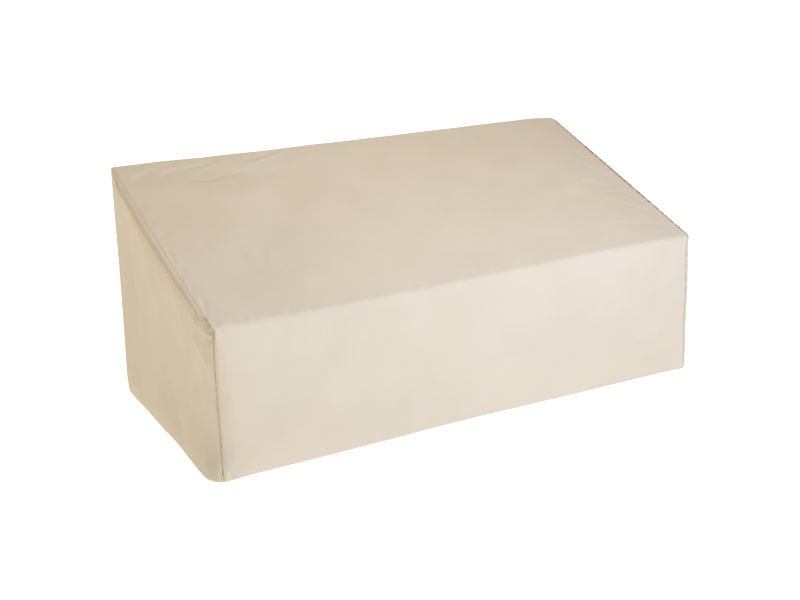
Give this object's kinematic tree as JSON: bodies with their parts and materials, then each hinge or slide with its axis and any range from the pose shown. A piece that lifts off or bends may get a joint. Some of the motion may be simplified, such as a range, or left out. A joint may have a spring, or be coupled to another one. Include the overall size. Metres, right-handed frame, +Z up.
{
  "type": "outdoor sofa cover",
  "caption": "Fitted cloth cover for an outdoor sofa: a hollow wedge with an upright front and back, a sloping top and sewn end gussets, open at the hem.",
  "frame": {"origin": "centre of the footprint, at the level of the hem", "axes": "+X along the cover's length, to the right as seen from the front; +Y from the front to the back; +Z up"},
  "size_m": [2.0467, 0.9479, 0.8884],
  "materials": {
    "body_cloth": "matt coated weave",
    "left_gusset_cloth": "matt coated weave",
    "right_gusset_cloth": "matt coated weave"
  },
  "bodies": {
    "root": {"body_panel": "body_cloth", "side_panel_left": "left_gusset_cloth", "side_panel_right": "right_gusset_cloth"}
  },
  "joints": []
}
